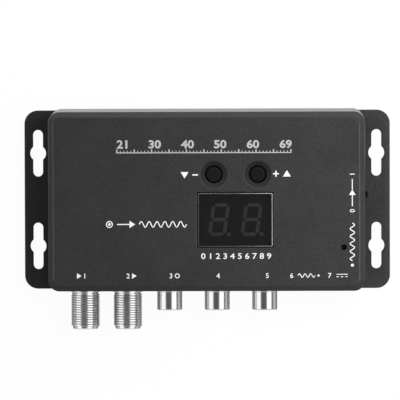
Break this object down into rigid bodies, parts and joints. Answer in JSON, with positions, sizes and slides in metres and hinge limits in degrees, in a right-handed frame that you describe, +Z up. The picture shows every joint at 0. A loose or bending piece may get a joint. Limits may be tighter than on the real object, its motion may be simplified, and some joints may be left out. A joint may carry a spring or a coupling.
{
  "type": "rf modulator",
  "caption": "Moulded box with mounting ears, threaded aerial sockets and phono sockets on one side, and keys and a digit display in its top.",
  "frame": {"origin": "centre of the box's footprint, on the flat underside", "axes": "+X to the right along the ears, +Y from the sockets to the rear wall, +Z up out of the top face"},
  "size_m": [0.1228, 0.0732, 0.026],
  "materials": {
    "housing_plastic": "fine spark-eroded texture",
    "key_plastic": "satin",
    "smoked_window": "polished, smoked",
    "plated_socket": "bright nickel plate",
    "screw_steel": "zinc plated",
    "tinned_steel": "tinned",
    "contact_brass": "plated",
    "circuit_board": "lacquered glass fibre board",
    "black_plastic": "moulded",
    "chip_black": "moulded resin",
    "segment_plastic": "unlit segments",
    "white_plastic": "moulded",
    "yellow_plastic": "moulded",
    "red_plastic": "moulded",
    "lamp_resin": "clear resin",
    "ferrite": "pressed ferrite",
    "capacitor_can": "drawn can",
    "ceramic": "fired ceramic"
  },
  "bodies": {
    "housing": {"base_shell": "housing_plastic", "top_cover": "housing_plastic", "case_screws": "screw_steel", "display_window": "smoked_window", "main_board": "circuit_board", "board_screws": "screw_steel", "display_board": "circuit_board", "display_board_screws": "screw_steel", "header_socket": "black_plastic", "header_pins": "contact_brass", "rf_shield_frame": "tinned_steel", "rf_shield_lid": "tinned_steel", "splitter_core": "ferrite", "modulator_chip": "chip_black", "crystal": "tinned_steel", "rf_in_barrel": "plated_socket", "rf_in_insulator": "white_plastic", "rf_in_contact": "contact_brass", "rf_out_barrel": "plated_socket", "rf_out_insulator": "white_plastic", "rf_out_contact": "contact_brass", "video_jack_housing": "black_plastic", "video_jack_sleeve": "plated_socket", "video_jack_insert": "yellow_plastic", "video_jack_contact": "contact_brass", "left_jack_housing": "black_plastic", "left_jack_sleeve": "plated_socket", "left_jack_insert": "white_plastic", "left_jack_contact": "contact_brass", "right_jack_housing": "black_plastic", "right_jack_sleeve": "plated_socket", "right_jack_insert": "red_plastic", "right_jack_contact": "contact_brass", "lamp_lead_jack_housing": "black_plastic", "lamp_lead_jack_contacts": "contact_brass", "power_socket_shell": "tinned_steel", "power_socket_tongue": "black_plastic", "power_socket_contacts": "contact_brass", "display_housing": "black_plastic", "display_segments": "segment_plastic", "display_pins": "tinned_steel", "channel_down_switch": "black_plastic", "channel_up_switch": "black_plastic", "slide_switch_frame": "tinned_steel", "slide_switch_base": "black_plastic", "signal_lamp": "lamp_resin", "signal_lamp_leads": "tinned_steel", "lamp_spacer": "black_plastic", "regulator": "chip_black", "power_inductor": "ferrite", "filter_capacitors": "capacitor_can", "microcontroller": "chip_black", "chip_parts": "ceramic"},
    "channel_down_key": {"channel_down_key": "key_plastic", "channel_down_plunger": "black_plastic"},
    "channel_up_key": {"channel_up_key": "key_plastic", "channel_up_plunger": "black_plastic"},
    "slide_knob": {"slide_switch_knob": "key_plastic"}
  },
  "joints": [
    {"name": "channel_down_press", "type": "slide", "parent": "housing", "child": "channel_down_key", "axis": [0, 0, -1], "range_m": [0, 0.0003], "stiffness_N_per_m": 3000, "springref_m": -0.0002},
    {"name": "channel_up_press", "type": "slide", "parent": "housing", "child": "channel_up_key", "axis": [0, 0, -1], "range_m": [0, 0.0003], "stiffness_N_per_m": 3000, "springref_m": -0.0002},
    {"name": "slide_switch_move", "type": "slide", "parent": "housing", "child": "slide_knob", "axis": [0, 1, 0], "range_m": [0, 0.002]}
  ]
}
